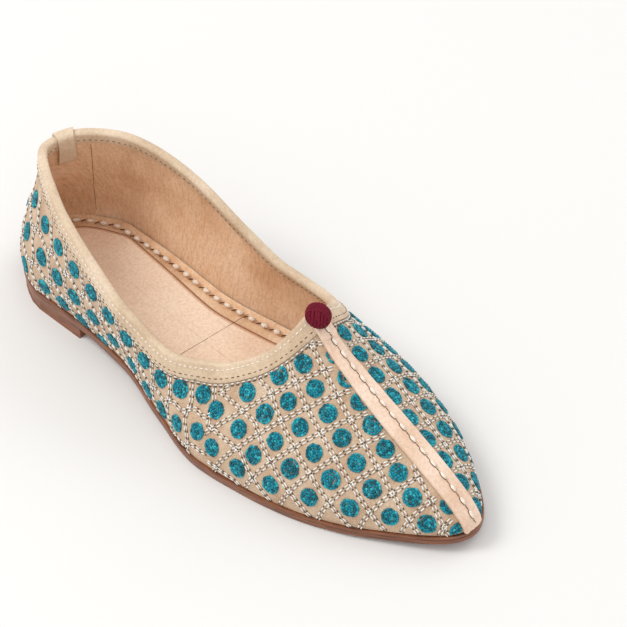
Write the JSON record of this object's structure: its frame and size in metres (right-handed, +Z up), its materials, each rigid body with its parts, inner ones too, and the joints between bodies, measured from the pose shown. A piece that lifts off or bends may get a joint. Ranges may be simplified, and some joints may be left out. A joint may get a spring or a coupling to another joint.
{
  "type": "mojari shoe",
  "caption": "Flat leather-soled slip-on shoe with a pointed toe, an embroidered upper, a bound topline, a vamp strip and a thread ball at the throat.",
  "frame": {"origin": "on the ground below the middle of the bounding box, with the shoe standing on its heel and forefoot", "axes": "+Z up, -Y towards the toe, +Y towards the heel, -X towards the wearer's outer side"},
  "size_m": [0.0869, 0.2546, 0.0731],
  "materials": {
    "sole_leather": "smooth brown edge, waxed",
    "heel_leather": "stacked brown leather, waxed edge",
    "embroidered_cloth": "woven beige ground with a silver-white thread lattice and round teal rosettes",
    "trim_leather": "smooth natural beige leather, matt",
    "insole_leather": "tan leather, matt",
    "sock_leather": "smooth light tan leather, satin",
    "wound_thread": "wound crimson cotton thread"
  },
  "bodies": {
    "root": {"outsole": "sole_leather", "heel": "heel_leather", "upper": "embroidered_cloth", "topline_binding": "trim_leather", "back_strap": "trim_leather", "vamp_strip": "trim_leather", "insole": "insole_leather", "sock_lining": "sock_leather", "throat_knot": "wound_thread"}
  },
  "joints": []
}
